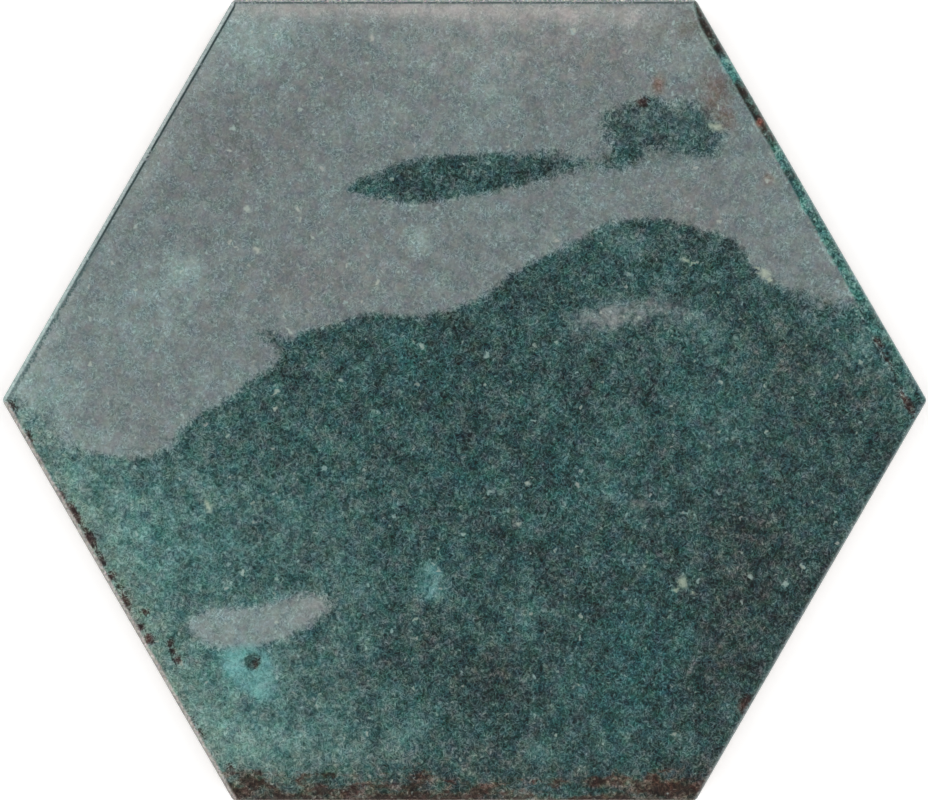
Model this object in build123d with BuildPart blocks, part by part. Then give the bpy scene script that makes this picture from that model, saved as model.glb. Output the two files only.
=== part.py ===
from build123d import *

import os
from math import floor, sqrt

# Hexagonal glazed tile, pressed from powder and fired as one piece.
# It lies on its back: Z rises from the bedding plane to the glazed face, two
# corners lie on the X axis, and the origin is the middle of the bedding plane.
# Sizes in millimetres, angles in degrees.

# Face and thickness
ACROSS_FLATS = 240.0
THICKNESS = 10.0

# Rounded edge of the glazed face, and the corner of the flat it leaves
ARRIS_RADIUS = 1.2
FACE_CORNER_RADIUS = 0.6

# Foot: the band above the bedding plane where the sides draw in
FOOT_HEIGHT = 3.0
FOOT_TAPER = 0.8

# Honeycomb key pressed into the back for the adhesive to grip
CELL_PITCH = 20.0
RIB_WIDTH = 3.0
CELL_DEPTH = 0.7
CELL_DRAFT = 35.0
BACK_MARGIN = 5.0

SIDES = 6
CORNER_RADIUS = ARRIS_RADIUS + FACE_CORNER_RADIUS
FOOT_WIDTH = ACROSS_FLATS - 2 * FOOT_TAPER
CELL_WIDTH = CELL_PITCH - RIB_WIDTH

# The cells stand in rings round the middle one, each ring a hexagon that points
# the same way as the tile; a cell's own corners point at the tile's flat sides.
ROW_PITCH = CELL_PITCH * sqrt(3) / 2
CELL_REACH = CELL_WIDTH / sqrt(3)
CELL_RINGS = floor((FOOT_WIDTH / 2 - BACK_MARGIN - CELL_REACH) / ROW_PITCH)
CELL_CENTRES = [
    ((column + row / 2) * CELL_PITCH, row * ROW_PITCH)
    for row in range(-CELL_RINGS, CELL_RINGS + 1)
    for column in range(-CELL_RINGS, CELL_RINGS + 1)
    if abs(column + row) <= CELL_RINGS
]

with BuildPart() as tile:
    # Foot, widening from the bedding plane to the full size
    with BuildSketch() as bedding_outline:
        RegularPolygon(FOOT_WIDTH / 2, SIDES, major_radius=False)
        fillet(bedding_outline.vertices(), CORNER_RADIUS)
    with BuildSketch(Plane.XY.offset(FOOT_HEIGHT)) as full_outline:
        RegularPolygon(ACROSS_FLATS / 2, SIDES, major_radius=False)
        fillet(full_outline.vertices(), CORNER_RADIUS)
    loft(ruled=True)

    # Upright sides up to the face, then the rounded arris
    top_of_foot = tile.faces().sort_by(Axis.Z)[-1]
    extrude(top_of_foot, amount=THICKNESS - FOOT_HEIGHT)
    fillet(tile.edges().group_by(Axis.Z)[-1], ARRIS_RADIUS)

    # Honeycomb of shallow cells with sloping walls
    with BuildSketch() as cell_mouths:
        with Locations(*CELL_CENTRES):
            RegularPolygon(CELL_WIDTH / 2, SIDES, major_radius=False, rotation=180 / SIDES)
    extrude(amount=CELL_DEPTH, taper=CELL_DRAFT, mode=Mode.SUBTRACT)

tile.part.label = "tile"
os.makedirs("parts", exist_ok=True)
export_step(tile.part, "parts/tile.step")
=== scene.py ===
from math import cos, pi, radians, sin, sqrt

import bpy
import numpy as np
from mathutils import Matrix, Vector, noise
from mathutils.geometry import delaunay_2d_cdt


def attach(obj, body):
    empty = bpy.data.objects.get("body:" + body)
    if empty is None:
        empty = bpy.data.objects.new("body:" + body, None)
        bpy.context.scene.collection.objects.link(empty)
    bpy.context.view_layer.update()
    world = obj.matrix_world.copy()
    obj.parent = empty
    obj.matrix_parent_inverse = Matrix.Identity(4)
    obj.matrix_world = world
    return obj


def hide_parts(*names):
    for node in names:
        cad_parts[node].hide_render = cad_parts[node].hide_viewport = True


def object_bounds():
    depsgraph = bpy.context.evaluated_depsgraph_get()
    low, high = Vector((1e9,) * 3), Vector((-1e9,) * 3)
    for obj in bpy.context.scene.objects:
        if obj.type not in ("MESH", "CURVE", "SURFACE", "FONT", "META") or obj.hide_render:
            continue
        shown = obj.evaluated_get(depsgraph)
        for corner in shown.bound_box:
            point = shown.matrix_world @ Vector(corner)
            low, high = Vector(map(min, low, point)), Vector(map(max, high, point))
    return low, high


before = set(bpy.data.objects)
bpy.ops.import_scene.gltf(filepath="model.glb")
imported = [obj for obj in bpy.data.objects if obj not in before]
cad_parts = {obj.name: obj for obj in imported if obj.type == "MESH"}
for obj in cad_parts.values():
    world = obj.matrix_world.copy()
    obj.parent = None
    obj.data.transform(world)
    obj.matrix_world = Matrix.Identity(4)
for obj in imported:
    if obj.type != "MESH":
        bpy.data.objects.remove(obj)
cad_low, cad_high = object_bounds()

# Hexagonal tile with a weathered glaze, lying on its back and seen from straight above.
# Lengths on the tile are in millimetres until its mesh is made.
MM = 0.001
SIDES = 6
APOTHEM = (cad_high.y - cad_low.y) / 2 / MM
THICKNESS = cad_high.z / MM
SHARP_CORNER = APOTHEM * 2 / sqrt(3)
CORNER_PULL = SHARP_CORNER - cad_high.x / MM

# Rounded arris, sides and drawn-in foot
ARRIS_RADIUS = 1.2
ARRIS_WANDER = 0.2
ARRIS_WAVE = 9.0
ARRIS_RINGS = 8
FLAT_INSET = 1.9
FOOT_HEIGHT = 3.0
FOOT_TAPER = 0.8
SIDE_LEVELS = (8.0, 7.0, 5.8, 4.4, FOOT_HEIGHT, 1.5, 0.0)
SIDE_ROUGHNESS = 0.05
SIDE_GRIT = 2.5
SHARP_ANGLE = 28

# Keyed back: its cells are lower than this limit, and what is lower than a touch lies on the floor
CELL_LIMIT = 1.0
TOUCH = 0.01
CELL_PASSES = 8
WELD_DECIMALS = 3
BOW = 1.0
WHOLE_HULL, MERGE_DISTANCE = 0, 1e-6

# Relief of the fired face, which lies a little low so that its swell stays within the CAD node's height
SIDE_STEPS = 144
RING = SIDES * SIDE_STEPS
FACE_DROP = 0.16
FACE_LEVEL = THICKNESS - FACE_DROP
SWELL_SIZE, SWELL_HEIGHT = 60.0, 0.10
RIPPLE_SIZE, RIPPLE_HEIGHT = 6.0, 0.012
FILM_THICKNESS, FILM_SLOPE = 0.03, 0.5
# Noise of the shapes: how each octave fades and shrinks, and the seeds
OCTAVE_FADE, OCTAVE_STEP = 1.0, 2.0
SWELL_SEED, RIPPLE_SEED, ARRIS_SEED, SIDE_SEED = 1.0, 2.0, 3.0, 4.0

# Texture map: face and sides unrolled as one hexagon, the back small in a corner
FACE_SPAN, FACE_MIDDLE = 0.92, (0.5, 0.6)
BACK_SPAN, BACK_MIDDLE = 0.285, (0.15, 0.128)

# Glaze pattern, in millimetres from the middle of the face: points of closed curves
FILM_EDGE = [
    (-74, 126), (74, 126), (122, 40), (118, 31), (114.5, 28.4), (108, 29), (102, 30.8), (96.4, 33),
    (90, 35.8), (86, 40.6), (83.4, 44.4), (78.6, 48.4), (66, 52.4), (57, 54.2), (49, 53.8), (41, 51.6),
    (25, 43.3), (14.5, 38), (7.5, 32), (0, 28.8), (-9, 25.6), (-18, 25), (-28, 25.6), (-39, 22.9),
    (-48, 20.2), (-54, 18.2), (-58.5, 20.3), (-61, 19.6), (-55.4, 15), (-56, 10.4), (-63, 6.4),
    (-72, -0.6), (-80, -5.2), (-85, -9.6), (-89, -14.4), (-94, -17), (-101, -17.3), (-108, -16.4),
    (-116, -15), (-123, -12.6), (-127, -8), (-131.2, -5), (-135, -1.5), (-144, 10),
]
DARK_LENS = [
    (-34.8, 63.3), (-29, 66.8), (-20, 70.3), (-9, 72.6), (8, 73.6), (20, 73.8), (30, 72.8), (36, 71),
    (28, 68), (18, 65), (4, 61.6), (-8, 59.7), (-18, 59.2), (-28, 60.8),
]
DARK_PATCH = [
    (41, 85.4), (49, 87.8), (53.5, 90.2), (57, 90.4), (62, 88.6), (67.6, 89), (72.6, 87.6),
    (74.6, 84.4), (77, 81), (75.6, 76.8), (72.6, 73.8), (68.8, 74.4), (61.4, 75.6), (55, 75),
    (51.6, 72.6), (48.4, 70.2), (42, 70.4), (44.4, 74.4), (43, 78), (42.6, 82.6),
]
FILM_ISLAND = [
    (-82.8, -66.8), (-81.2, -64.4), (-76, -62.9), (-70, -62.4), (-63, -62), (-54, -59.4), (-45, -58),
    (-40.8, -59.8), (-43.5, -65.4), (-51, -70), (-60, -73.5), (-67, -75), (-76.5, -73.6),
    (-81.4, -70.2),
]
TURQUOISE_LARGE = [
    (-72.6, -75.6), (-66, -73.4), (-61.4, -74.4), (-57, -79), (-56.4, -85.4), (-59.6, -90), (-65, -88),
    (-70, -83.6), (-72.8, -79),
]
TURQUOISE_SMALL = [
    (-14.6, -54.5), (-13, -50.4), (-9.6, -48.8), (-6.4, -51), (-6, -55.4), (-8.6, -58.8), (-12.6, -58),
]
# Outline, softness of its rim and strength
BRIGHT_BLOOMS = [(TURQUOISE_LARGE, 3.0, 0.9), (TURQUOISE_SMALL, 4.0, 0.6)]
# Dark hole in the large bloom
HOLE_PLACE, HOLE_RADIUS, HOLE_SOFTNESS, HOLE_DEPTH = (-63.5, -78.3), 2.2, 1.4, 1.95
# Printed strip along the upper right side: its reach, strength and brownness at each height
STRIP_REACH = [
    (-6, 5.2), (2, 4.9), (17, 4.1), (28, 3.6), (36, 3.5), (60, 3.4), (77, 2.8), (112, 2.8), (119, 1.0),
]
STRIP_SHARE = [(-9, 0), (-3, 0.4), (20, 0.6), (31, 1)]
STRIP_BROWN = [
    (66, 0), (67.4, 0.7), (69, 0), (76, 0), (79, 1), (94, 1), (96, 0), (102, 0), (105, 1), (119, 1),
]
# How far up the lower edge is scorched, from left to right
SCORCH_REACH = [
    (-75, 6.4), (-50, 5.4), (-30, 4.8), (-5, 5.0), (14, 4.4), (30, 3.4), (42, 5.4), (56, 6.4),
    (75, 6.4),
]
# Edges of the six sides, in turn: upper right, top, upper left, lower left, bottom, lower right
UPPER_RIGHT, TOP, UPPER_LEFT = range(3)
WORN_WIDTH = [0.6, 0.8, 1.2, 1.45, 0.45, 0.65]
WORN_SPECKLE = [0.1, 1.0, 0.1, 0.35, 0.3, 0.1]
WORN_BARE = [0.4, 0.7, 0.5, 1.0, 0.95, 0.6]
POOLED_LINE = [0.0, 0.6, 1.0, 0.0, 0.0, 0.0]
# Along the upper left side: glaze left on the worn strip, fading of the dark line, dashed seam
STRIP_GLAZED = [(25, 0.35), (65, 0.0)]
LINE_FADE = [(26.8, 0.1), (52, 1.0)]
SEAM = [(0, 0.4), (12, 0.8), (32, 0.95), (50, 0.2)]
# The warm grey is weaker where the top edge begins
TOP_WARMTH = [(1.0, 0.5), (2.8, 1.0)]
# Soft patches: middle, half-lengths, turn in degrees, strength
# Dark smears of the scorched edge, and gaps in it
SMEARS = [
    (-65, -112.4, 7, 2.0, -8, 4.0), (-55.5, -111.6, 4, 1.2, 0, 3.5), (-12, -112.4, 3.4, 1.7, 0, 6.0),
    (-21, -112.6, 5, 1.2, 0, 2.5), (28, -114.2, 3.2, 1.6, 0, 4.5), (39, -114.7, 5, 1.6, 0, 6.0),
    (46.6, -113, 3, 2.6, 20, 4.0), (63, -115, 13, 3.2, 0, 3.0), (32, -117.4, 10, 1.8, 0, -6.0),
    (53, -117.8, 4, 1.2, 0, -4.0), (-53, -116.4, 3, 1.6, 0, -4.0), (-61, -117, 3, 1.3, 0, -2.5),
]
# Where the rim of the film is soft, then thin film beyond it and, below nought, film that is thinned
SOFT_EDGES = [
    (58, 81, 24, 14, 0, 1.2), (34, 71, 13, 6, 0, 2.4), (-128, -6, 11, 13, 0, 3.0),
    (-58, 17, 6, 6, 0, 1.0), (108, 28, 14, 8, -20, 1.8), (-66, -75, 14, 4, -10, 0.6),
    (-44, -61, 6, 6, 0, 1.0), (-88, -12, 8, 8, 0, 0.8), (74, 80, 7, 9, 0, 1.2),
]
FILM_VEILS = [
    (43.3, 25.0, 12, 4.3, 12, 0.95), (58, 27.6, 9, 3.2, 5, 0.42), (67, 24.4, 9, 3.2, -12, 0.4),
    (54.5, -31, 6.5, 1.3, -3, 0.65), (-126, -4, 8, 8, -40, -0.25), (60, 82, 18, 9, 0, 0.22),
    (60, 73, 20, 3, 4, -0.35), (46, 84, 5, 8, 0, -0.2), (40, 72.6, 7, 2, 0, 0.1),
    (50, 83, 7, 8, 0, 0.22),
]
# Paler and darker glaze
BLOOMS = [
    (-16, -100, 6, 3.4, 35, 0.4), (23, -105.5, 4, 3.4, 0, 0.42), (66, -101, 4, 2.4, -30, 0.3),
    (108, -40.5, 3, 3, 0, 0.35), (44.5, -27.5, 3.4, 2.4, -60, 0.3), (18, -64, 6, 9, 0, 0.2),
    (-108, -36, 24, 18, -60, 0.38), (-92, -55, 22, 14, 0, 0.18), (-87, -22, 9, 9, 0, 0.1),
    (-72, -30, 28, 12, 0, 0.18), (-62, -106, 24, 9, 0, 0.4), (-36, -103, 16, 8, 0, 0.2),
    (-4, -106, 26, 5, 0, 0.12), (-79, -90, 10, 20, 30, 0.38), (-60, -87, 16, 15, 0, 0.19),
    (-60, -80, 10, 11, 0, 0.1), (-60, -93, 7, 4, 0, 0.18), (-87, 83.7, 34, 5, 60, 0.15),
    (-123, 23, 20, 3.4, 60, 0.14), (122, 14, 18, 7, -60, 0.2), (82, 96, 14, 7, -60, 0.12),
    (-73, -49, 14, 12, 0, 0.1), (-25, 86, 12, 6, 0, 0.15), (-46, -42, 18, 14, 0, 0.12),
    (77, 2, 14, 20, 20, 0.14), (47, -14, 8, 24, 0, 0.1), (47, 48, 8, 5, -30, 0.4),
    (-13.5, 47.7, 4.0, 4.4, 0, 0.6), (-84, 39.5, 7, 5, -30, 0.5), (-90, 30, 14, 11, 20, 0.18),
    (-54, 65, 9, 5, 20, 0.15), (-63, 109, 13, 12, 0, 0.55), (61, 105, 11, 11, 0, 0.22),
    (8, 93, 8, 18, 0, 0.13), (94, 58, 6, 22, 30, 0.1), (-28, -92, 18, 18, 0, 0.1),
    (122, 8, 16, 10, -60, 0.06), (0, 104, 24, 12, 0, 0.1), (-128, 2, 14, 16, 0, 0.45),
    (-103, 22, 20, 14, 0, 0.12), (104, 21, 12, 6, -20, 0.1), (77, 19.4, 7, 3.4, 0, 0.2),
    (-96, -77, 9, 14, 30, 0.3), (-64, -64, 18, 8, 10, 0.18), (-74, -56, 62, 56, 0, 0.13),
    (-34, -63, 13, 11, 0, 0.12), (-112, -28, 12, 16, 0, 0.1), (-60, 3, 8, 6, 0, 0.12),
    (-75, -9, 9, 6, 30, 0.16), (-127, -10, 7, 6, -40, 0.12), (-54, -84, 6, 10, 0, 0.14),
    (-74, -90, 7, 7, 0, 0.1), (-33, -90, 8, 8, 0, 0.1), (-60, -103, 7, 6, 0, 0.08),
    (-114, -22, 7, 7, 0, 0.1),
]
MURK = [
    (-5, 16, 14, 8, 0, 0.4), (86, -74, 18, 32, -30, 0.3), (6, -84, 16, 12, 0, 0.35),
    (110, -10, 24, 16, -30, 0.2), (84, -42, 14, 12, 0, 0.25), (-12, -78, 12, 8, 0, 0.2),
    (-34, 100, 20, 10, 0, 0.2), (-66, 76, 18, 16, 0, 0.38), (34, 86, 14, 8, 0, 0.35),
    (75, -52, 34, 18, 0, 0.2), (104, -60, 60, 8, 60, 0.26), (32, -62, 20, 9, 0, 0.16),
    (70, -104, 14, 10, 0, 0.2), (48, 4, 10, 8, 0, 0.18), (14, -28, 12, 12, 0, 0.15),
    (95, 15, 14, 6, -15, 0.2), (-46, -49, 7, 7, 0, 0.14), (-19, -63, 7, 8, 0, 0.14),
    (54, -70, 10, 10, -40, 0.14), (75, -56, 8, 13, 0, 0.16), (102, -49, 7, 7, 0, 0.12),
    (-75, 70, 16, 20, 0, 0.35), (55, 99, 14, 8, 0, 0.3),
]
# Greener glaze along the lower left side, warm grey along the upper sides
MOSS = [
    (-103, -60, 64, 11, -60, 0.33), (-102.2, -59, 60, 2.4, -60, 0.17), (-70, -108, 22, 10, 0, 0.14),
    (-40, -112, 16, 6, 0, 0.12),
]
WARMTH = [
    (-46, 119, 34, 5.4, 0, 0.85), (4, 119, 30, 6.2, 0, 0.9), (46, 118.5, 24, 6, 0, 0.5),
    (-87, 83.7, 34, 5, 60, 0.3), (-123, 23, 20, 3.4, 60, 0.25), (32, 115, 5, 3, 0, 0.4),
    (50, 115, 5, 4, 0, 0.4), (-45, -62, 7, 5, 20, 0.25), (44, 25.4, 9, 3, 9, 0.15),
    (46, 109, 24, 6, 0, 0.12), (4, 107, 24, 8, 0, 0.17),
]
# Hue: ruddy where it is above nought, blue below
HUES = [
    (28, 104, 40, 12, 0, 0.35), (66, 55, 14, 16, 0, 0.3), (54, 18, 12, 5, 0, 0.4),
    (-40, -84, 16, 12, 0, 0.35), (-90, -46, 22, 10, 0, -0.3), (-10, -110, 48, 8, 0, 0.6),
    (66, -113, 18, 6, 0, 0.6), (-69, -79, 5, 5, 0, -0.3), (82, 96, 14, 6, -60, -0.5),
    (85, -42, 11, 15, 0, 0.5), (76, -76, 9, 18, -30, 0.5), (11, -81, 9, 8, 0, 0.45),
    (-10, -68, 8, 7, 0, 0.5), (-25, -24, 10, 7, 0, 0.1), (122, 2, 8, 6, 0, 0.5),
    (94, 12, 14, 12, 0, 0.5), (52, -78, 16, 22, -20, -0.7), (28, -22, 9, 8, 0, -0.6),
    (-14, 12, 14, 10, 0, -0.6), (74, 4, 14, 12, 0, -0.3), (0, -21, 7, 7, 0, -0.4),
    (-40, 90, 34, 22, 0, 0.1), (-40, 36, 30, 12, 10, 0.3), (-100, -6, 20, 12, 0, 0.1),
    (58, 94.4, 1.6, 2.4, 0, 1.0), (90.9, 66.2, 1.8, 2.2, 0, 0.8), (74, 95, 4, 6, 10, 0.3),
    (79, 84, 2.4, 3, 0, 0.1), (88.5, 83.2, 1.3, 1.3, 0, 4.0),
]
# Russet stains
RUSSET = [
    (75, 91.5, 5, 7.5, 12, 0.62), (78.6, 84.4, 3, 3.6, 0, 0.5), (58, 94.4, 2.0, 2.8, 0, 0.85),
    (90.9, 66.2, 1.6, 2.0, 0, 0.5), (60, 110, 7, 5, 0, 0.15), (68, 112, 4, 5, 0, 0.3),
]
# Spots: middle, half-length, half-width, turn in degrees
# Pale flecks
FLECKS = [
    (-56.5, 2.4, 1.6, 0.6, 35), (-52.7, 21, 1.5, 0.5, -60), (-36.9, 6, 0.8, 0.7, 0),
    (-31, 29.4, 0.8, 0.5, -40), (-26, 35.2, 0.7, 0.8, 0), (6.6, 13.6, 0.9, 1.0, 0),
    (-45.4, 48.7, 1.1, 0.5, -50), (-65, 57.2, 1.2, 0.6, -45), (-50, 57.3, 0.9, 0.5, -60),
    (-62, 44.8, 1.1, 0.8, 0), (-68.6, 45.8, 1.3, 0.4, -30), (-27.8, 108.6, 0.8, 1.2, 0),
    (32.7, 110.2, 1.1, 1.1, 0), (-69.6, 81.4, 0.9, 0.8, 0), (85.8, -53, 1.1, 0.7, -40),
    (96, -55.2, 1.1, 0.8, 30), (101, -49.8, 0.9, 0.7, 0), (19, -25, 0.9, 0.9, 0),
    (34, -25.6, 0.7, 1.2, 20), (7.8, -27.4, 1.1, 0.7, 0), (16, -37, 1.1, 0.7, 0),
    (66, -33.6, 1.6, 0.6, 0), (52, 24.4, 1.0, 0.6, 0), (-12.8, 16, 0.8, 0.9, 0),
    (-66.5, -51.8, 0.8, 1.2, 0),
]
# Brighter, yellowish ones
BRIGHT_FLECKS = [
    (66.4, 41.8, 1.5, 0.7, -30), (68.4, 41, 1.0, 0.5, 20), (89.6, 37.8, 1.8, 1.6, 20),
    (91.2, 36, 0.9, 0.7, -40), (87.4, 39.6, 0.8, 0.6, 0), (65.3, -54.6, 1.6, 2.2, 10),
    (63.6, -56.6, 1.5, 0.7, 20), (68.2, -57.6, 0.9, 0.6, 0), (-76.6, -31.8, 1.4, 2.0, 10),
    (75.4, 81.6, 2.6, 1.2, -15),
]
# Burnt spots, most of them along the sides
RUST_SPOTS = [
    (-135.6, -1.7, 2.0, 0.8, -50), (-130.6, -10, 1.2, 0.8, -60), (-129.4, -12, 1.0, 0.8, -60),
    (-120.8, -28.4, 1.6, 0.7, -60), (-116.9, -33.6, 4.4, 1.2, -58), (-112, -41.6, 3.6, 1.0, -60),
    (-109, -47.6, 1.6, 0.6, -60), (-106, -52.6, 1.2, 1.3, 0), (-101.8, -59.6, 3.8, 0.9, -62),
    (-95.4, -63.6, 1.3, 1.2, 0), (-97.4, -68, 1.3, 1.0, 0), (-94.6, -71.6, 1.7, 1.7, 0),
    (-88, -72.6, 0.9, 1.0, 0), (-87, -75.2, 0.8, 0.7, 0), (-85.8, -77.8, 1.5, 1.2, 0),
    (-70, -109.8, 1.0, 0.7, 0), (-62.4, -78.8, 0.5, 1.0, 0), (-80.2, -98.4, 2.4, 0.5, -60),
    (132.6, -1, 4.6, 1.2, -60), (123.8, 17.2, 1.7, 0.9, -58), (126.6, 12, 2.4, 0.45, -60),
    (53.4, 89.2, 1.6, 1.2, 0), (83.6, -91, 3.2, 1.6, 60),
]

# Fields of the pattern: rim of the film, steepness of a soft patch, limits of distances, outermost edge
RIM_SOFTNESS = 1.0
PATCH_POWER = 1.3
FIELD_LIMIT, SPOT_LIMIT = 4.0, 2.0
OUTER_EDGE = 0.1


def tone(red, green, blue):
    """A colour as a screen shows it, 0 to 255; the shader mixes such tones and turns them linear last."""
    return (red / 255, green / 255, blue / 255)


# Tones of the glaze
DARK_GLAZE, DARK_BLOOM, DARK_MURK = tone(40, 68, 67), tone(107, 148, 142), tone(30, 45, 44)
FILM_GREY, FILM_BLOOM, FILM_MURK = tone(104, 116, 116), tone(138, 164, 160), tone(100, 106, 106)
MOSS_GREEN = tone(124, 138, 124)
TURQUOISE, HOLE_DARK = tone(96, 145, 143), tone(48, 58, 57)
WARM_GREY, RUSSET_BROWN = tone(155, 154, 151), tone(98, 88, 81)
STRIP_TEALS = ((0.4, tone(40, 80, 77)), (0.62, tone(72, 116, 110)))
STRIP_HALO = tone(138, 160, 154)
MAROONS = ((0.4, tone(38, 24, 23)), (0.62, tone(60, 38, 35)))
UMBERS = ((0.36, tone(65, 63, 54)), (0.66, tone(78, 71, 60)))
CHAR = tone(40, 30, 24)
FLECK_TONES = ((0.2, tone(158, 182, 178)), (0.6, tone(176, 184, 170)), (0.9, tone(172, 172, 165)))
GLINT = tone(176, 186, 164)
POOLED_DARK, SEAM_DARK = tone(24, 42, 43), tone(44, 73, 73)
# Worn strip at the edges: bare body showing through, its tones lifted as painted light against the shade of
# the rounded arris
WORN_TONES_WITH_PAINTED_LIGHT = (
    (0.15, tone(174, 196, 193)), (0.5, tone(168, 182, 181)),
    (0.75, tone(158, 160, 158)), (1.0, tone(166, 160, 155)),
)
BODY_DARK, BODY_PALE, BODY_SPECK = tone(160, 147, 136), tone(196, 184, 172), tone(111, 97, 90)
BLACKEST = tone(8, 8, 8)
DISPLAY_GAMMA = 2.2
# How far each channel swings: by hue, clouds, mottle and grain of dark glaze and film, grit of the edge
HUE_TURN = tone(9, -3, -4)
CLOUD_SWING = tone(8, 14, 13)
DARK_MOTTLE, FILM_MOTTLE = tone(24, 9, 10), tone(29, 14, 15)
DARK_GRAIN, FILM_GRAIN = (1.03, 0.97, 0.96), (0.46, 0.48, 0.48)
GRIT_SWING = (0.2, 0.14, 0.14)
EVEN_SWING = (1.0, 1.0, 1.0)

# Noise of the glaze: size in millimetres, seed, detail, roughness
NOISES = {
    "stir": (1.6, 1, 1.0, 0.5),
    "broad": (6.0, 3, 3.0, 1.0),
    "hue": (4.5, 4, 2.0, 0.8),
    "cloud": (14.0, 5, 1.0, 0.5),
    "smear": (3.4, 6, 3.0, 0.7),
    "body": (5.0, 7, 3.0, 0.5),
    "speck": (0.6, 8, 0.0, 0.5),
    "peel": (1.4, 9, 1.0, 0.5),
    "strand": (0.37, 10, 0.0, 0.5),
    "grit": (0.7, 13, 1.0, 0.5),
}
SEED_STEP = 37.0
# Grain: strands in three ways, drawn out along their length, at places stirred about
GRAIN_TURN = 0.5
STRAND_WAYS = 3
STRAND_STRETCH = (0.3, 1.0, 1.0)
STRAND_GAIN, STRAND_SHIFT = 1.3, -0.28
STIRRED_REACH, RAGGED_REACH = (0.55, 0.55, 0.0), (0.9, 0.9, 0.0)
SMEAR_STRETCH = (0.42, 1.0, 1.0)
# Strewn flecks: spacing in millimetres, largest radius as a share of it, opacity
STREWN_FLECKS = ((3.0, 0.11, 0.5), (7.0, 0.10, 0.6))
STREWN_RIM = 0.3
# The glaze runs down the sides to about this height, give or take
GLAZE_FOOT, GLAZE_WAVER, GLAZE_RIM = 7.2, 1.2, 0.25
DARK_ROUGHNESS, FILM_ROUGHNESS, BODY_ROUGHNESS = 0.36, 0.48, 0.85
PEEL_STRENGTH, PEEL_HEIGHT = 0.3, 0.05 * MM

# Floor, lamps and sky; lengths in metres, angles in degrees
FLOOR_SIZE = 8.0
FLOOR_BOUNCE, FLOOR_GLOW = 0.80, 0.2
WORLD_LEVEL = 0.12
LAMP_DISTANCE, LAMP_RISE, LAMP_SIZE, LAMP_POWER = 2.2, 42, 1.4, 18.5
LAMP_TURNS = (45, 135, 225, 315)
# The camera is so far off that the sides don't show; the flats touch the picture's borders
SENSOR, LENS = 36.0, 200.0
VIEW_WIDTH = 278.27 * MM
VIEW_RISE = 0.04 * MM


# Shapes in the plane
def wander(points, size, seed, octaves=3):
    """Smooth seeded noise of about -1 to 1 at each point, with features of this size."""
    place = np.column_stack([points[:, :2] / size, np.full(len(points), seed)])
    return np.array([noise.fractal(Vector(p), OCTAVE_FADE, OCTAVE_STEP, octaves) for p in place])


def hexagon(apothem, steps):
    """Points round a hexagon with corners on the X axis, so many steps along each side."""
    turn = np.radians(360 / SIDES * np.arange(SIDES + 1))
    corners = apothem * 2 / sqrt(3) * np.column_stack([np.cos(turn), np.sin(turn)])
    part = (np.arange(steps) / steps)[None, :, None]
    sides = corners[:-1, None] + np.diff(corners, axis=0)[:, None] * part
    return sides.reshape(-1, 2)


OUTLINE = hexagon(APOTHEM, SIDE_STEPS)


def smooth_loop(points, steps=5):
    """A closed curve through listed points."""
    p = np.array(points, float)
    a, b, c, d = (np.roll(p, shift, 0)[:, None] for shift in (1, 0, -1, -2))
    t = (np.arange(steps) / steps)[None, :, None]
    loop = b + 0.5 * t * (c - a + t * (2 * a - 5 * b + 4 * c - d + t * (3 * (b - c) + d - a)))
    return loop.reshape(-1, 2)


def inside_distance(points, x, y):
    """Distance from the closed curve through some points, positive inside it."""
    loop = smooth_loop(points)
    near = np.full(x.shape, np.inf)
    inside = np.zeros(x.shape, bool)
    for (ax, ay), (bx, by) in zip(loop, np.roll(loop, -1, 0)):
        ex, ey = bx - ax, by - ay
        t = np.clip(((x - ax) * ex + (y - ay) * ey) / (ex * ex + ey * ey), 0, 1)
        near = np.minimum(near, np.hypot(x - ax - t * ex, y - ay - t * ey))
        if ay != by:
            inside ^= ((ay > y) != (by > y)) & (x < ax + ex * (y - ay) / ey)
    return np.where(inside, near, -near)


def ellipse_place(x, y, middle_x, middle_y, half_x, half_y, turn):
    """Places as an ellipse sees them: its middle is at nought and its rim at a distance of one."""
    c, s = cos(radians(turn)), sin(radians(turn))
    u = ((x - middle_x) * c + (y - middle_y) * s) / half_x
    v = ((y - middle_y) * c - (x - middle_x) * s) / half_y
    return u, v


def patches(spots, x, y):
    """Sum of soft elliptical patches."""
    total = np.zeros(x.shape)
    for *ellipse, strength in spots:
        u, v = ellipse_place(x, y, *ellipse)
        total += strength * np.exp(-((u * u + v * v) ** PATCH_POWER))
    return total


def spot_distance(spots, x, y):
    """Distance in millimetres from the rim of the nearest elliptical spot, negative inside it."""
    near = np.full(x.shape, np.inf)
    for ellipse in spots:
        u, v = ellipse_place(x, y, *ellipse)
        near = np.minimum(near, (np.hypot(u, v) - 1) * min(ellipse[2:4]))
    return near


def curve(stops, at):
    """Values along a line through given stops, each a place and a value."""
    return np.interp(at, *zip(*stops))


def soft_step(distance, softness):
    """From 0 outside a rim to 1 inside it."""
    return (0.5 + distance / softness).clip(0, 1)


def film_distance(x, y):
    """Distance from the rim of the grey film, positive where the film lies."""
    film = inside_distance(FILM_EDGE, x, y)
    for gap in (DARK_LENS, DARK_PATCH):
        film = np.minimum(film, -inside_distance(gap, x, y))
    return np.maximum(film, inside_distance(FILM_ISLAND, x, y))


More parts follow.
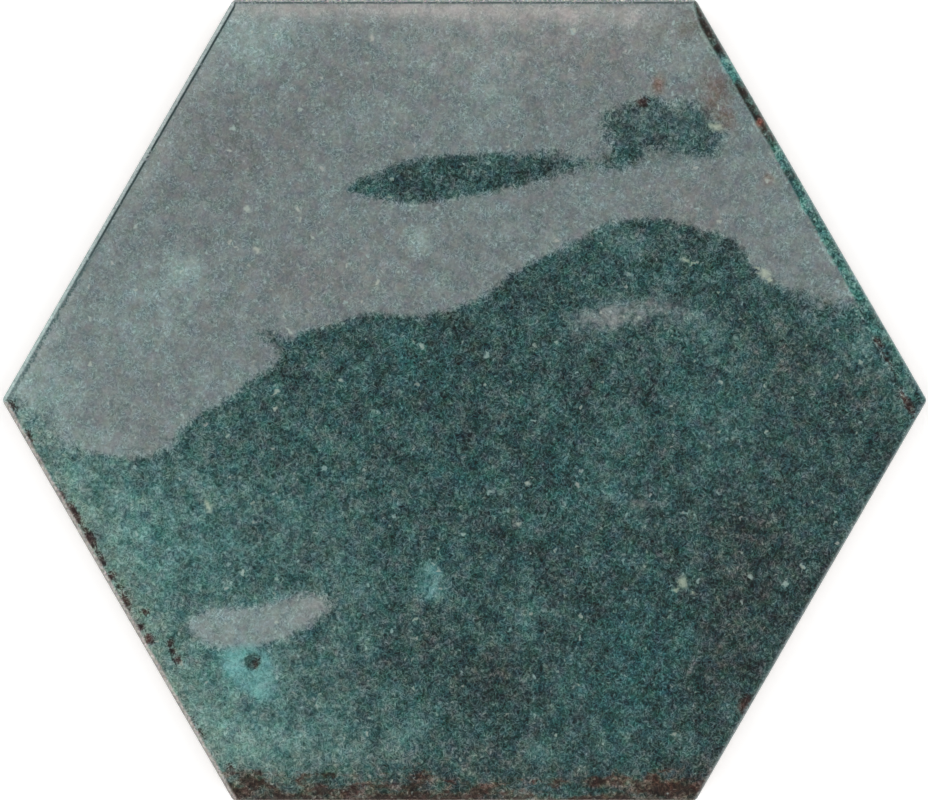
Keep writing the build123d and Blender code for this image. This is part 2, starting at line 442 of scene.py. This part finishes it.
# The tile's mesh: a triangular lattice on the face, rings down the arris and the sides, the keyed back
def face_lattice():
    """Points of the flat of the face, ring by ring from the middle, and its triangles."""
    points, triangles, inner = [np.zeros((1, 2))], [], 0
    for ring in range(1, SIDE_STEPS + 1):
        points.append(hexagon((APOTHEM - FLAT_INSET) * ring / SIDE_STEPS, ring))
        count, inner_count = SIDES * ring, max(1, SIDES * (ring - 1))
        outer = inner + inner_count
        side, step = np.divmod(np.arange(count), ring)
        here = outer + np.arange(count)
        beyond = outer + (np.arange(count) + 1) % count
        behind = inner + (side * (ring - 1) + step) % inner_count
        triangles.append(np.column_stack([here, beyond, behind]))
        if ring > 1:
            ahead = inner + (side * (ring - 1) + step + 1) % inner_count
            triangles.append(np.column_stack([beyond, ahead, behind])[step < ring - 1])
        inner = outer
    return np.concatenate(points), np.concatenate(triangles)


def face_height(flat):
    """Height of the fired face: its swell, its ripple and the film that stands proud of it."""
    height = FACE_LEVEL + SWELL_HEIGHT * wander(flat, SWELL_SIZE, SWELL_SEED)
    height += RIPPLE_HEIGHT * wander(flat, RIPPLE_SIZE, RIPPLE_SEED)
    return height + FILM_THICKNESS * film_distance(*flat.T).clip(-FILM_SLOPE, FILM_SLOPE)


def inset_ring(inset):
    """The tile's outline moved inwards, with its corners eased."""
    ring = OUTLINE * (1 - inset / APOTHEM)[:, None]
    is_corner = np.arange(RING) % SIDE_STEPS == 0
    pull = np.where(is_corner, CORNER_PULL * (1 - inset / FLAT_INSET).clip(0, 1), 0)
    return ring * (1 - pull / np.hypot(*ring.T))[:, None]


def rim_rings(rim_height):
    """Rings of points down the arris, the sides and the foot, and the way to each from the flat's rim."""
    rings, travel = [], []
    radius = ARRIS_RADIUS + ARRIS_WANDER * wander(OUTLINE, ARRIS_WAVE, ARRIS_SEED)
    for i in range(1, ARRIS_RINGS + 1):
        bend = pi / 2 * i / ARRIS_RINGS
        ring = inset_ring(radius * (1 - sin(bend)))
        rings.append(np.column_stack([ring, rim_height - radius * (1 - cos(bend))]))
        travel.append(FLAT_INSET - ARRIS_RADIUS + ARRIS_RADIUS * bend)
    to_floor = travel[-1] + THICKNESS - ARRIS_RADIUS
    for level in SIDE_LEVELS:
        grit = wander(OUTLINE, SIDE_GRIT, SIDE_SEED + level)
        roughness = SIDE_ROUGHNESS * (1 + grit).clip(0, 2) * (level > 0)
        taper = FOOT_TAPER * max(0.0, 1 - level / FOOT_HEIGHT)
        rings.append(np.column_stack([inset_ring(roughness + taper), np.full(RING, level)]))
        travel.append(to_floor - level)
    return rings, travel


def welded(node):
    """The CAD node's points, in millimetres, and triangles, with its split points joined."""
    mesh = node.data
    mesh.calc_loop_triangles()
    points = np.empty(len(mesh.vertices) * 3)
    mesh.vertices.foreach_get("co", points)
    triangles = np.empty(len(mesh.loop_triangles) * 3, int)
    mesh.loop_triangles.foreach_get("vertices", triangles)
    points = (points.reshape(-1, 3) / MM).round(WELD_DECIMALS)
    points, same = np.unique(points, axis=0, return_inverse=True)
    return points, same.ravel()[triangles].reshape(-1, 3)


def cad_cells():
    """Cells of the CAD node's back: their points, their triangles and which cell each point is in."""
    points, triangles = welded(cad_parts["tile"])
    top = points[triangles][:, :, 2].max(1)
    used, triangles = np.unique(triangles[(top < CELL_LIMIT) & (top > TOUCH)], return_inverse=True)
    triangles = triangles.reshape(-1, 3)
    cell_of = np.arange(len(used))
    for _ in range(CELL_PASSES):
        lowest = cell_of[triangles].min(1)
        np.minimum.at(cell_of, triangles, lowest[:, None].repeat(3, 1))
    return points[used], triangles, cell_of


def rib_plane(foot, cells, cell_triangles, cell_of):
    """The points at the mouths of the cells, and the triangles of the rib tops between them and the foot.

    The triangles count the foot's points first and then those at the mouths.
    """
    mouth = np.flatnonzero(cells[:, 2] < TOUCH)
    number = np.full(len(cells), -1)
    number[mouth] = RING + np.arange(len(mouth))
    edges = np.sort(cell_triangles[:, [0, 1, 1, 2, 2, 0]].reshape(-1, 2), axis=1)
    edges, count = np.unique(edges, axis=0, return_counts=True)
    loop = np.column_stack([np.arange(RING), np.roll(np.arange(RING), -1)])
    fixed = np.concatenate([loop, number[edges[count == 1]]])
    # Bowed out a little for the meshing, so that no sliver lies along a straight side
    along = np.arange(RING) % SIDE_STEPS / SIDE_STEPS
    bowed = foot * (1 + BOW * 4 * along * (1 - along) / APOTHEM)[:, None]
    plan = [Vector(p) for p in np.concatenate([bowed, cells[mouth, :2]])]
    made = delaunay_2d_cdt(plan, fixed.tolist(), [], WHOLE_HULL, MERGE_DISTANCE)
    source = np.array([origin[0] for origin in made[3]])
    triangles = source[np.array(made[2])]
    owner = np.concatenate([np.full(RING, -1), cell_of[mouth]])[triangles]
    within = (owner[:, 0] >= 0) & (owner == owner[:, :1]).all(1)
    return mouth, triangles[~within][:, ::-1]


def add_texture_map(mesh, points, unrolled, first_back):
    """Maps the face and the sides from their unrolled places and the back from its plan."""
    face_uv = unrolled * (FACE_SPAN / (2 * np.abs(unrolled).max())) + FACE_MIDDLE
    back_scale = BACK_SPAN / (2 * SHARP_CORNER)
    back_uv = points[:, :2] * (back_scale, -back_scale) + BACK_MIDDLE
    corners = np.empty(len(mesh.loops), int)
    mesh.loops.foreach_get("vertex_index", corners)
    on_face = np.arange(len(corners)) < first_back
    uv = np.where(on_face[:, None], face_uv[corners], back_uv[corners])
    mesh.uv_layers.new(name="OFBake").data.foreach_set("uv", uv.ravel())


def fired_tile():
    """One closed mesh of the tile, its points and their places with the sides unrolled, in millimetres."""
    flat, flat_triangles = face_lattice()
    height = face_height(flat)
    rings, travel = rim_rings(height[-RING:])
    cells, cell_triangles, cell_of = cad_cells()
    mouth, rib_triangles = rib_plane(rings[-1][:, :2], cells, cell_triangles, cell_of)

    points = np.concatenate([np.column_stack([flat, height]), *rings, cells])
    ring_start = len(flat) - RING + RING * np.arange(len(rings) + 1)
    cell_start = ring_start[-1] + RING
    here = np.arange(RING)
    beyond = np.roll(here, -1)
    quads = np.concatenate([
        np.column_stack([upper + here, lower + here, lower + beyond, upper + beyond])
        for upper, lower in zip(ring_start[:-1], ring_start[1:])
    ])
    rib_points = np.concatenate([ring_start[-1] + here, cell_start + mouth])
    back = np.concatenate([rib_points[rib_triangles], cell_start + cell_triangles])

    mesh = bpy.data.meshes.new("fired_tile")
    mesh.from_pydata(points * MM, [], flat_triangles.tolist() + quads.tolist() + back.tolist())
    mesh.shade_smooth()
    mesh.set_sharp_from_angle(angle=radians(SHARP_ANGLE))

    unrolled = np.zeros((len(points), 2))
    unrolled[: len(flat)] = flat
    for start, way in zip(ring_start[1:], travel):
        unrolled[start : start + RING] = OUTLINE * (1 + (way - FLAT_INSET) / APOTHEM)
    add_texture_map(mesh, points, unrolled, flat_triangles.size + quads.size)
    return mesh, points, unrolled


# Fields of the glaze pattern, one value at each point
def bright_field(x, y):
    """Turquoise blooms, and below nought the dark hole in one of them."""
    bright = np.zeros(x.shape)
    for outline, softness, strength in BRIGHT_BLOOMS:
        bright += strength * soft_step(inside_distance(outline, x, y), softness)
    hole = HOLE_RADIUS - np.hypot(x - HOLE_PLACE[0], y - HOLE_PLACE[1])
    return bright - HOLE_DEPTH * soft_step(hole, HOLE_SOFTNESS)


def edge_fields(y, side, gap):
    """What the edge of each side looks like."""
    upper_left = side == UPPER_LEFT
    return {
        "worn_width": np.array(WORN_WIDTH)[side],
        "worn_speckle": np.array(WORN_SPECKLE)[side],
        "worn_bare": np.array(WORN_BARE)[side] - np.where(upper_left, curve(STRIP_GLAZED, y), 0),
        "line": np.array(POOLED_LINE)[side] * np.where(upper_left, curve(LINE_FADE, y), 1),
        "seam": np.where(upper_left, curve(SEAM, y), 0),
        "gap": gap,
    }


def pattern_fields(points):
    """All that the shader reads from the mesh, by name."""
    x, y, z = points.T
    side_normals = np.radians(360 / SIDES * (np.arange(SIDES) + 0.5))
    reach = np.column_stack([x * cos(a) + y * sin(a) for a in side_normals])
    side = reach.argmax(1)
    gap = APOTHEM - reach.max(1)
    strip = curve(STRIP_REACH, y) - APOTHEM + reach[:, UPPER_RIGHT]
    near_strip = (side == UPPER_RIGHT) | (gap < OUTER_EDGE)
    return {
        "film": film_distance(x, y) / (RIM_SOFTNESS + patches(SOFT_EDGES, x, y)),
        "veil": patches(FILM_VEILS, x, y),
        "bloom": patches(BLOOMS, x, y),
        "murk": patches(MURK, x, y),
        "moss": patches(MOSS, x, y),
        "bright": bright_field(x, y),
        "warmth": patches(WARMTH, x, y) * np.where(side == TOP, curve(TOP_WARMTH, gap), 1),
        "russet": patches(RUSSET, x, y),
        "hue": patches(HUES, x, y),
        "strip": np.where(near_strip, strip, -FIELD_LIMIT).clip(-FIELD_LIMIT, FIELD_LIMIT),
        "strip_share": curve(STRIP_SHARE, y),
        "strip_brown": curve(STRIP_BROWN, y),
        "scorch": curve(SCORCH_REACH, x) - (y + APOTHEM) + patches(SMEARS, x, y),
        "rust": spot_distance(RUST_SPOTS, x, y).clip(-SPOT_LIMIT, SPOT_LIMIT),
        "drop": (THICKNESS - ARRIS_RADIUS - z).clip(0, FIELD_LIMIT),
        **edge_fields(y, side, gap),
    }


def store_fields(mesh, points, unrolled):
    """Keeps the unrolled places and the fields on the mesh's points."""
    places = np.column_stack([unrolled, np.zeros(len(points))]).ravel().astype(np.float32)
    mesh.attributes.new("unrolled", "FLOAT_VECTOR", "POINT").data.foreach_set("vector", places)
    for name, values in pattern_fields(points).items():
        mesh.attributes.new(name, "FLOAT", "POINT").data.foreach_set("value", values.astype(np.float32))


# Materials
class Shader:
    """Builds one material's nodes; sockets and numbers can both be given as inputs."""

    def __init__(self, name):
        self.material = bpy.data.materials.new(name)
        self.material.use_nodes = True
        self.tree = self.material.node_tree
        self.surface = self.tree.nodes["Principled BSDF"]

    def node(self, kind, **settings):
        made = self.tree.nodes.new(kind)
        for name, value in settings.items():
            setattr(made, name, value)
        return made

    def feed(self, socket, value):
        if isinstance(value, bpy.types.NodeSocket):
            self.tree.links.new(value, socket)
        elif isinstance(value, tuple) and len(value) == 3 and len(socket.default_value) == 4:
            socket.default_value = (*value, 1)
        else:
            socket.default_value = value

    def field(self, name):
        return self.node("ShaderNodeAttribute", attribute_name=name).outputs["Fac"]

    def math(self, operation, *values, clamp=False):
        made = self.node("ShaderNodeMath", operation=operation, use_clamp=clamp)
        for socket, value in zip(made.inputs, values):
            self.feed(socket, value)
        return made.outputs[0]

    def plus(self, first, second):
        return self.math("ADD", first, second)

    def times(self, first, second):
        return self.math("MULTIPLY", first, second)

    def choose(self, operation, *values):
        """The lowest or the highest of several values."""
        chosen = values[0]
        for value in values[1:]:
            chosen = self.math(operation, chosen, value)
        return chosen

    def vector(self, operation, *values):
        made = self.node("ShaderNodeVectorMath", operation=operation)
        for socket, value in zip(made.inputs, values):
            self.feed(socket, value)
        return made.outputs[0]

    def turned(self, place, turn):
        made = self.node("ShaderNodeMapping")
        self.feed(made.inputs["Vector"], place)
        made.inputs["Rotation"].default_value = (0, 0, turn)
        return made.outputs[0]

    def noise(self, kind, place, deep=False, seed=0):
        """Noise of 0 to 1, also as three channels; flat unless it is deep."""
        size, first_seed, detail, roughness = NOISES[kind]
        made = self.node("ShaderNodeTexNoise", noise_dimensions="3D" if deep else "2D")
        shift = SEED_STEP * (first_seed + seed)
        self.feed(made.inputs["Vector"], self.vector("ADD", place, (shift, -shift, 0)))
        for name, value in (("Scale", 1 / size), ("Detail", detail), ("Roughness", roughness)):
            made.inputs[name].default_value = value
        return made.outputs["Fac"], made.outputs["Color"]

    def swing(self, value, amount):
        """Noise of 0 to 1 turned into a swing of this amount to either side of 0."""
        return self.math("MULTIPLY_ADD", value, 2 * amount, -amount)

    def colour_swing(self, value, amounts):
        """The same with an amount for each channel."""
        return self.vector("MULTIPLY_ADD", value, tuple(2 * v for v in amounts), tuple(-v for v in amounts))

    def span(self, value, low, high, to_low=0.0, to_high=1.0, smooth=True):
        """A range of values mapped to another one, held at its ends."""
        made = self.node("ShaderNodeMapRange", interpolation_type="SMOOTHSTEP" if smooth else "LINEAR")
        for socket, number in zip(made.inputs, (value, low, high, to_low, to_high)):
            self.feed(socket, number)
        return made.outputs[0]

    def mix(self, share, first, second):
        made = self.node("ShaderNodeMix", data_type="RGBA")
        for socket, value in zip((made.inputs[0], made.inputs[6], made.inputs[7]), (share, first, second)):
            self.feed(socket, value)
        return made.outputs[2]

    def ramp(self, value, stops):
        made = self.node("ShaderNodeValToRGB")
        self.feed(made.inputs[0], value)
        elements = made.color_ramp.elements
        while len(elements) < len(stops):
            elements.new(0.5)
        for element, (position, colour) in zip(elements, stops):
            element.position = position
            element.color = (*colour, 1)
        return made.outputs[0]

    def nearest(self, spots, place):
        """Distance from the nearest of some spots, 1 at its rim."""
        distances = []
        for middle_x, middle_y, half_x, half_y, turn in spots:
            local = self.node("ShaderNodeMapping", vector_type="TEXTURE")
            self.feed(local.inputs["Vector"], place)
            local.inputs["Location"].default_value = (middle_x, middle_y, 0)
            local.inputs["Rotation"].default_value = (0, 0, radians(turn))
            local.inputs["Scale"].default_value = (half_x, half_y, 1)
            length = self.node("ShaderNodeVectorMath", operation="LENGTH")
            self.feed(length.inputs[0], local.outputs[0])
            distances.append(length.outputs["Value"])
        return self.choose("MINIMUM", *distances)


class Glaze(Shader):
    """The tile's one material: glaze on the face and down to the sides, bare body below it."""

    def __init__(self):
        super().__init__("satin_glaze")
        self.make_noise()
        colour = self.ground_and_film()
        colour = self.tints(colour)
        colour = self.printed_strip(colour)
        colour = self.burns(colour)
        colour = self.hue_and_grain(colour)
        colour = self.flecks(colour)
        colour = self.dark_lines(colour)
        colour = self.worn_strip_with_painted_light(colour)
        self.finish(colour)

    def make_noise(self):
        """Ragged places for whatever is drawn, the grain, hue and clouds."""
        place = self.node("ShaderNodeVectorMath", operation="SCALE")
        self.feed(place.inputs[0], self.node("ShaderNodeTexCoord").outputs["Object"])
        place.inputs["Scale"].default_value = 1 / MM
        self.place = place.outputs[0]
        flat_place = self.node("ShaderNodeAttribute", attribute_name="unrolled").outputs["Vector"]
        _, stir = self.noise("stir", flat_place)
        self.ragged_place = self.vector("ADD", flat_place, self.colour_swing(stir, RAGGED_REACH))
        stirred = self.vector("ADD", flat_place, self.colour_swing(stir, STIRRED_REACH))
        strands = []
        for i in range(STRAND_WAYS):
            lengthwise = self.turned(stirred, GRAIN_TURN + pi / STRAND_WAYS * i)
            lengthwise = self.vector("MULTIPLY", lengthwise, STRAND_STRETCH)
            strands.append(self.noise("strand", lengthwise, seed=i)[0])
        self.strands = self.choose("MAXIMUM", *strands)
        self.fine = self.math("MULTIPLY_ADD", self.strands, STRAND_GAIN, STRAND_SHIFT)
        threads = self.turned(stirred, GRAIN_TURN)
        self.broad, _ = self.noise("broad", threads)
        self.redness, self.hue_noise = self.noise("hue", threads)
        self.cloud, _ = self.noise("cloud", threads)
        self.grit, self.speckle = self.noise("grit", threads)

    def mottled(self, name, least, most, low=0.3, high=0.7, smooth=True):
        """A field made uneven by the broad noise."""
        return self.times(self.field(name), self.span(self.broad, low, high, least, most, smooth))

    def ragged(self, value, fine, broad):
        """A distance from a rim made ragged by the grain and the broad noise."""
        return self.plus(value, self.plus(self.swing(self.fine, fine), self.swing(self.broad, broad)))

    def ground_and_film(self):
        """Dark glaze under everything and the grey film over its upper part, both paler where they bloom."""
        self.bloom = self.math("MINIMUM", self.mottled("bloom", 0.8, 1.2, smooth=False), 1.0)
        murk = self.field("murk")
        dark = self.mix(murk, self.mix(self.bloom, DARK_GLAZE, DARK_BLOOM), DARK_MURK)
        film = self.mix(murk, self.mix(self.bloom, FILM_GREY, FILM_BLOOM), FILM_MURK)
        cover = self.span(self.ragged(self.field("film"), 0.6, 0.9), -1.4, 1.4)
        veil = self.mottled("veil", 0.6, 1.4, smooth=False)
        self.cover = self.math("ADD", cover, veil, clamp=True)
        return self.mix(self.cover, dark, film)

    def tints(self, colour):
        """Moss green, the turquoise blooms and the hole, warm grey and russet."""
        colour = self.mix(self.field("moss"), colour, MOSS_GREEN)
        self.bright = self.mottled("bright", 0.85, 1.15)
        colour = self.mix(self.bright, colour, TURQUOISE)
        colour = self.mix(self.times(self.field("bright"), -0.6), colour, HOLE_DARK)
        # Warm grey in patches and in a band along the upper edges
        self.warmth = self.mottled("warmth", 0.8, 1.15)
        colour = self.mix(self.warmth, colour, WARM_GREY)
        return self.mix(self.mottled("russet", 1.3, 0.5, 0.35, 0.65), colour, RUSSET_BROWN)

    def printed_strip(self, colour):
        """Teal strip along one side, with a broken pale halo; no film lies on it."""
        rim = self.ragged(self.field("strip"), 0.5, 0.8)
        self.in_strip = self.times(self.span(rim, -0.35, 0.35), self.field("strip_share"))
        colour = self.mix(self.in_strip, colour, self.ramp(self.broad, STRIP_TEALS))
        halo = self.span(self.math("ABSOLUTE", self.plus(rim, 0.5)), 0.1, 0.6, 0.45, 0.0)
        halo = self.times(halo, self.span(self.broad, 0.44, 0.56))
        self.cover = self.times(self.cover, self.math("SUBTRACT", 1.0, self.in_strip))
        return self.mix(halo, colour, STRIP_HALO)

    def burns(self, colour):
        """Burnt spots, the scorched lower edge and the brown stretches of the strip."""
        away = self.ragged(self.field("rust"), 0.8, 1.2)
        self.burnt = self.span(away, -0.8, 0.8, 0.9, 0.0)
        colour = self.mix(self.burnt, colour, self.ramp(self.broad, MAROONS))
        smear, _ = self.noise("smear", self.vector("MULTIPLY", self.ragged_place, SMEAR_STRETCH))
        scorch = self.field("scorch")
        scorched = self.span(self.plus(scorch, self.swing(smear, 7.0)), -3.4, 3.4, 0.0, 0.8)
        colour = self.mix(scorched, colour, self.ramp(self.broad, UMBERS))
        charred = self.math("MULTIPLY_ADD", scorch, 0.55, self.swing(smear, 10.0))
        charred = self.span(charred, 0.0, 4.2, 0.0, 0.9)
        brown = self.times(self.mottled("strip_brown", 0.95, 0.45, 0.4, 0.65), self.in_strip)
        self.charred = self.math("MAXIMUM", charred, brown)
        return self.mix(self.charred, colour, CHAR)

    def hue_and_grain(self, colour):
        """Hue and grain over all of it, weaker on the film and where the colour is calm."""
        hue = self.mottled("hue", 0.2, 1.8, 0.35, 0.65, smooth=False)
        colour = self.vector("MULTIPLY_ADD", hue, HUE_TURN, colour)
        wobble = self.vector("MULTIPLY", self.swing(self.cloud, 1.0), CLOUD_SWING)
        mottle = self.mix(self.cover, DARK_MOTTLE, FILM_MOTTLE)
        wobble = self.vector("MULTIPLY_ADD", self.colour_swing(self.hue_noise, EVEN_SWING), mottle, wobble)
        wobble = self.vector("MULTIPLY_ADD", self.swing(self.broad, 0.26), (1.0, 1.05, 1.0), wobble)
        # The film is flat in places and full of pale whiskers in others
        lively = self.span(self.redness, 0.36, 0.64, 1.45, 0.45, smooth=False)
        whiskers = self.times(self.span(self.strands, 0.68, 0.9, 0.0, 0.08, smooth=False), lively)
        whiskers = self.plus(self.times(self.swing(self.fine, 0.21), lively), whiskers)
        grain = self.span(self.cover, 0.0, 1.0, self.swing(self.fine, 0.26), whiskers, smooth=False)
        wobble = self.vector("ADD", wobble, grain)
        calm_bloom = self.times(self.bloom, self.span(self.cover, 0.0, 1.0, 0.6, 0.0, smooth=False))
        calm = self.choose("MAXIMUM", self.warmth, self.bright, self.burnt, self.charred, calm_bloom)
        strength = self.mix(self.cover, DARK_GRAIN, FILM_GRAIN)
        strength = self.vector("MULTIPLY", strength, self.span(calm, 0.0, 1.0, 1.0, 0.5, smooth=False))
        return self.vector("MULTIPLY_ADD", wobble, strength, colour)

    def flecks(self, colour):
        """Pale flecks: the large ones where they lie, small ones strewn about, then the bright ones."""
        fleck = self.span(self.nearest(FLECKS, self.ragged_place), 0.4, 1.35, 0.68, 0.0)
        for spacing, largest, opacity in STREWN_FLECKS:
            strewn = self.node("ShaderNodeTexVoronoi", voronoi_dimensions="2D")
            self.feed(strewn.inputs["Vector"], self.ragged_place)
            strewn.inputs["Scale"].default_value = 1 / spacing
            chance = self.node("ShaderNodeSeparateColor")
            self.feed(chance.inputs[0], strewn.outputs["Color"])
            radius = self.span(chance.outputs[0], 0.45, 1.0, 0.0, largest, smooth=False)
            away = self.math("SUBTRACT", strewn.outputs["Distance"], radius)
            soft = STREWN_RIM / spacing
            fleck = self.math("MAXIMUM", fleck, self.span(away, -soft, soft / 2, opacity, 0.0))
        colour = self.mix(fleck, colour, self.ramp(chance.outputs[1], FLECK_TONES))
        glint = self.span(self.nearest(BRIGHT_FLECKS, self.ragged_place), 0.2, 1.5, 0.7, 0.0)
        return self.mix(glint, colour, GLINT)

    def dark_lines(self, colour):
        """The dark line that pooled inside the worn strip, and the dashed seam that goes on from it."""
        self.inner = self.math("SUBTRACT", self.field("gap"), self.field("worn_width"))
        pooled = self.times(self.span(self.inner, -0.15, 0.05), self.span(self.inner, 0.3, 0.75, 1.0, 0.0))
        gaps = self.math("MULTIPLY_ADD", self.field("worn_speckle"), self.swing(self.grit, 0.5), self.broad)
        line = self.times(self.field("line"), self.span(gaps, 0.3, 0.42))
        colour = self.mix(self.times(pooled, line), colour, POOLED_DARK)
        seam_rim = self.plus(self.inner, self.swing(self.broad, 0.8))
        seam = self.times(self.span(self.inner, -0.4, 0.0), self.span(seam_rim, 0.9, 1.5, 1.0, 0.0))
        seam = self.times(seam, self.span(self.grit, 0.4, 0.6, 0.1, 0.85, smooth=False))
        return self.mix(self.times(seam, self.field("seam")), colour, SEAM_DARK)

    def worn_strip_with_painted_light(self, colour):
        """The outermost strip, where the glaze is worn and the body shows through, its tones lifted as
        painted light against the shade of the rounded arris.
        """
        worn = self.span(self.plus(self.inner, self.swing(self.broad, 0.6)), -0.6, 0.3, 0.9, 0.0)
        drop = self.plus(self.field("drop"), self.swing(self.broad, 1.0))
        worn = self.times(worn, self.span(drop, 0.1, 1.1, 1.0, 0.0))
        # Painted light: the worn strip's tones are lifted to offset the shade of the rounded arris
        strip = self.ramp(self.field("worn_bare"), WORN_TONES_WITH_PAINTED_LIGHT)
        spots = self.vector("ADD", self.swing(self.grit, 0.4), self.colour_swing(self.speckle, GRIT_SWING))
        strip = self.vector("MULTIPLY_ADD", spots, self.field("worn_speckle"), strip)
        strip = self.vector("ADD", strip, self.swing(self.fine, 0.12))
        strip = self.vector("ADD", strip, self.swing(self.broad, 0.25))
        return self.mix(worn, colour, strip)

    def bare_body(self):
        """Speckled fired clay."""
        bare, _ = self.noise("body", self.place, deep=True)
        speck, _ = self.noise("speck", self.place, deep=True)
        body = self.mix(bare, BODY_DARK, BODY_PALE)
        return self.mix(self.span(speck, 0.70, 0.78, 0.0, 0.35), body, BODY_SPECK)

    def finish(self, colour):
        """Bare body below the glaze's wavering foot, then colour, gloss and a faint peel."""
        split = self.node("ShaderNodeSeparateXYZ")
        self.feed(split.inputs[0], self.place)
        run = self.plus(split.outputs["Z"], self.swing(self.cloud, GLAZE_WAVER))
        glazed = self.span(run, GLAZE_FOOT - GLAZE_RIM, GLAZE_FOOT + GLAZE_RIM)
        colour = self.mix(glazed, self.bare_body(), colour)
        linear = self.node("ShaderNodeGamma")
        self.feed(linear.inputs["Color"], self.vector("MAXIMUM", colour, BLACKEST))
        linear.inputs["Gamma"].default_value = DISPLAY_GAMMA
        self.feed(self.surface.inputs["Base Color"], linear.outputs[0])
        dullness = self.span(self.cover, 0.0, 1.0, DARK_ROUGHNESS, FILM_ROUGHNESS)
        self.feed(self.surface.inputs["Roughness"], self.span(glazed, 0.0, 1.0, BODY_ROUGHNESS, dullness))
        peel, _ = self.noise("peel", self.place, deep=True)
        bump = self.node("ShaderNodeBump")
        bump.inputs["Strength"].default_value = PEEL_STRENGTH
        bump.inputs["Distance"].default_value = PEEL_HEIGHT
        self.feed(bump.inputs["Height"], peel)
        self.feed(self.surface.inputs["Normal"], bump.outputs[0])


def white_paper():
    """White to the camera, a little greyer in the light that it throws back."""
    paper = Shader("white_paper")
    surface = paper.surface.inputs
    seen = paper.node("ShaderNodeLightPath").outputs["Is Camera Ray"]
    paper.feed(surface["Base Color"], paper.mix(seen, (FLOOR_BOUNCE,) * 3, (1.0, 1.0, 1.0)))
    surface["Roughness"].default_value = 1.0
    surface["Specular IOR Level"].default_value = 0.0
    paper.feed(surface["Emission Color"], (1.0, 1.0, 1.0))
    paper.feed(surface["Emission Strength"], paper.times(seen, FLOOR_GLOW))
    return paper.material


def placed(name, data):
    """A new object in the scene."""
    made = bpy.data.objects.new(name, data)
    bpy.context.scene.collection.objects.link(made)
    return made


# The tile
tile_mesh, tile_points, tile_unrolled = fired_tile()
store_fields(tile_mesh, tile_points, tile_unrolled)
tile_mesh.materials.append(Glaze().material)
tile = placed("fired_tile", tile_mesh)
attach(tile, "root")
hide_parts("tile")

# Floor
half = FLOOR_SIZE / 2
floor_mesh = bpy.data.meshes.new("floor")
floor_corners = [(-half, -half, 0), (half, -half, 0), (half, half, 0), (-half, half, 0)]
floor_mesh.from_pydata(floor_corners, [], [(0, 1, 2, 3)])
floor_mesh.materials.append(white_paper())
floor = placed("floor", floor_mesh)

# Sky and lamps
world = bpy.data.worlds.new("studio")
world.use_nodes = True
sky = world.node_tree.nodes["Background"].inputs
sky["Color"].default_value = (1, 1, 1, 1)
sky["Strength"].default_value = WORLD_LEVEL
bpy.context.scene.world = world
for turn in LAMP_TURNS:
    lamp_data = bpy.data.lights.new(f"softbox_{turn}", "AREA")
    lamp_data.shape = "SQUARE"
    lamp_data.size = LAMP_SIZE
    lamp_data.energy = LAMP_POWER
    lamp = placed(f"softbox_{turn}", lamp_data)
    rise, way = radians(LAMP_RISE), radians(turn)
    lamp.location = LAMP_DISTANCE * Vector((cos(rise) * cos(way), cos(rise) * sin(way), sin(rise)))
    lamp.rotation_euler = (-lamp.location).to_track_quat("-Z", "Y").to_euler()

# Camera, looking straight down
camera_data = bpy.data.cameras.new("camera")
camera_data.sensor_width = SENSOR
camera_data.lens = LENS
camera = placed("camera", camera_data)
camera.location = (0, VIEW_RISE, (THICKNESS - ARRIS_RADIUS) * MM + VIEW_WIDTH * LENS / SENSOR)
bpy.context.scene.camera = camera
bpy.context.scene.view_settings.view_transform = "Standard"
